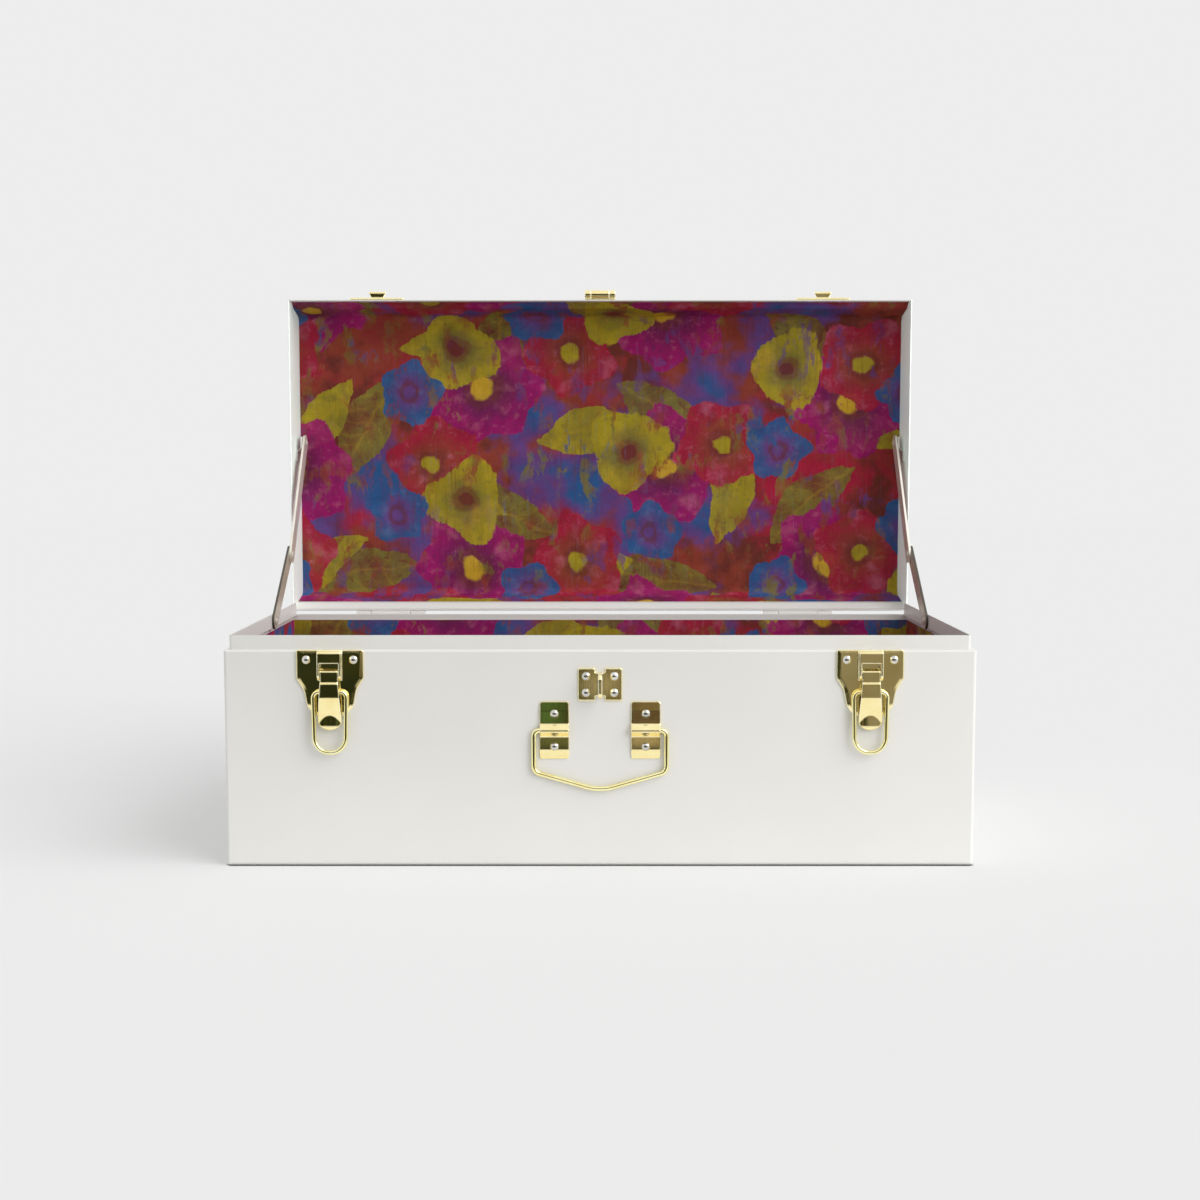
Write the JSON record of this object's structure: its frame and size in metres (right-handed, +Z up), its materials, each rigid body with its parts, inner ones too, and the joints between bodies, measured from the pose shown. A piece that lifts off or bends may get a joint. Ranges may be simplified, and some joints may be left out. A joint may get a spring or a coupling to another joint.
{
  "type": "storage trunk",
  "caption": "Sheet-steel storage trunk with a hinged lid held by folding stays, draw latches with wire loops, a padlock hasp and staple, a front bail handle and a printed lining.",
  "frame": {"origin": "Centre of the underside, on the floor.", "axes": "+X to the right seen from the front, +Y towards the back, +Z up."},
  "size_m": [0.6, 0.3719, 0.4871],
  "materials": {
    "white_enamel": "smooth white powder coat, satin",
    "lining_print": "matt paper-backed lining printed with a scattered plant pattern",
    "brass": "polished pressed brass",
    "rivet_steel": "bright plated domed rivet heads",
    "stay_nickel": "nickel-plated flat bar"
  },
  "bodies": {
    "base": {"base_walls": "white_enamel", "base_floor": "white_enamel", "base_lining": "lining_print", "body_rivets": "rivet_steel", "staple": "brass", "hinge_base_rivets": "white_enamel", "latch_plate_left": "brass", "lever_pin_left": "brass", "handle_plate_left": "brass", "hinge_base_leaf_left": "white_enamel", "hinge_pin_left": "white_enamel", "stay_base_stud_left": "stay_nickel", "latch_plate_right": "brass", "lever_pin_right": "brass", "handle_plate_right": "brass", "hinge_base_leaf_right": "white_enamel", "hinge_pin_right": "white_enamel", "stay_base_stud_right": "stay_nickel"},
    "lid": {"lid_shell": "white_enamel", "lid_lining": "lining_print", "lid_rivets": "rivet_steel", "hasp_leaf": "brass", "hasp_pin": "brass", "hinge_lid_rivets": "white_enamel", "lid_end_left": "white_enamel", "catch_left": "brass", "hinge_lid_leaf_left": "white_enamel", "stay_bracket_left": "white_enamel", "stay_lid_stud_left": "stay_nickel", "lid_end_right": "white_enamel", "catch_right": "brass", "hinge_lid_leaf_right": "white_enamel", "stay_bracket_right": "white_enamel", "stay_lid_stud_right": "stay_nickel"},
    "handle": {"handle_bail": "brass"},
    "hasp": {"hasp_flap": "brass"},
    "lever_left": {"lever_left": "brass"},
    "loop_left": {"loop_left": "brass"},
    "stay_lower_left": {"stay_lower_left": "stay_nickel"},
    "stay_upper_left": {"stay_upper_left": "stay_nickel", "elbow_rivet_left": "stay_nickel"},
    "lever_right": {"lever_right": "brass"},
    "loop_right": {"loop_right": "brass"},
    "stay_lower_right": {"stay_lower_right": "stay_nickel"},
    "stay_upper_right": {"stay_upper_right": "stay_nickel", "elbow_rivet_right": "stay_nickel"}
  },
  "joints": [
    {"name": "lid_hinge", "type": "hinge", "parent": "base", "child": "lid", "pos_m": [0, 0.153, 0.1745], "axis": [1, 0, 0], "range_deg": [0, 90]},
    {"name": "handle_swing", "type": "hinge", "parent": "base", "child": "handle", "pos_m": [0, -0.15235, 0.1103], "axis": [-1, 0, 0], "range_deg": [0, 150]},
    {"name": "hasp_fold", "type": "hinge", "parent": "lid", "child": "hasp", "pos_m": [0, 0.1578, 0.4831], "axis": [1, 0, 0], "range_deg": [0, 180]},
    {"name": "lever_left_turn", "type": "hinge", "parent": "base", "child": "lever_left", "pos_m": [-0.215, -0.1552, 0.157], "axis": [1, 0, 0], "range_deg": [-90, 0]},
    {"name": "loop_left_turn", "type": "hinge", "parent": "lever_left", "child": "loop_left", "pos_m": [-0.215, -0.1552, 0.1417], "axis": [-1, 0, 0], "range_deg": [0, 180]},
    {"name": "stay_lower_left_turn", "type": "hinge", "parent": "base", "child": "stay_lower_left", "pos_m": [-0.2938, 0.031, 0.18], "axis": [1, 0, 0], "range_deg": [-18.26, 0]},
    {"name": "stay_upper_left_turn", "type": "hinge", "parent": "lid", "child": "stay_upper_left", "pos_m": [-0.2915, 0.187, 0.3405], "axis": [1, 0, 0], "range_deg": [0, 37.96]},
    {"name": "lever_right_turn", "type": "hinge", "parent": "base", "child": "lever_right", "pos_m": [0.215, -0.1552, 0.157], "axis": [1, 0, 0], "range_deg": [-90, 0]},
    {"name": "loop_right_turn", "type": "hinge", "parent": "lever_right", "child": "loop_right", "pos_m": [0.215, -0.1552, 0.1417], "axis": [-1, 0, 0], "range_deg": [0, 180]},
    {"name": "stay_lower_right_turn", "type": "hinge", "parent": "base", "child": "stay_lower_right", "pos_m": [0.2938, 0.031, 0.18], "axis": [1, 0, 0], "range_deg": [-18.26, 0]},
    {"name": "stay_upper_right_turn", "type": "hinge", "parent": "lid", "child": "stay_upper_right", "pos_m": [0.2915, 0.187, 0.3405], "axis": [1, 0, 0], "range_deg": [0, 37.96]}
  ],
  "couplings": [
    {"joint": "stay_lower_left_turn", "follows": "lid_hinge", "ratio": -0.20283},
    {"joint": "stay_upper_left_turn", "follows": "lid_hinge", "ratio": 0.42174},
    {"joint": "stay_lower_right_turn", "follows": "lid_hinge", "ratio": -0.20283},
    {"joint": "stay_upper_right_turn", "follows": "lid_hinge", "ratio": 0.42174}
  ]
}
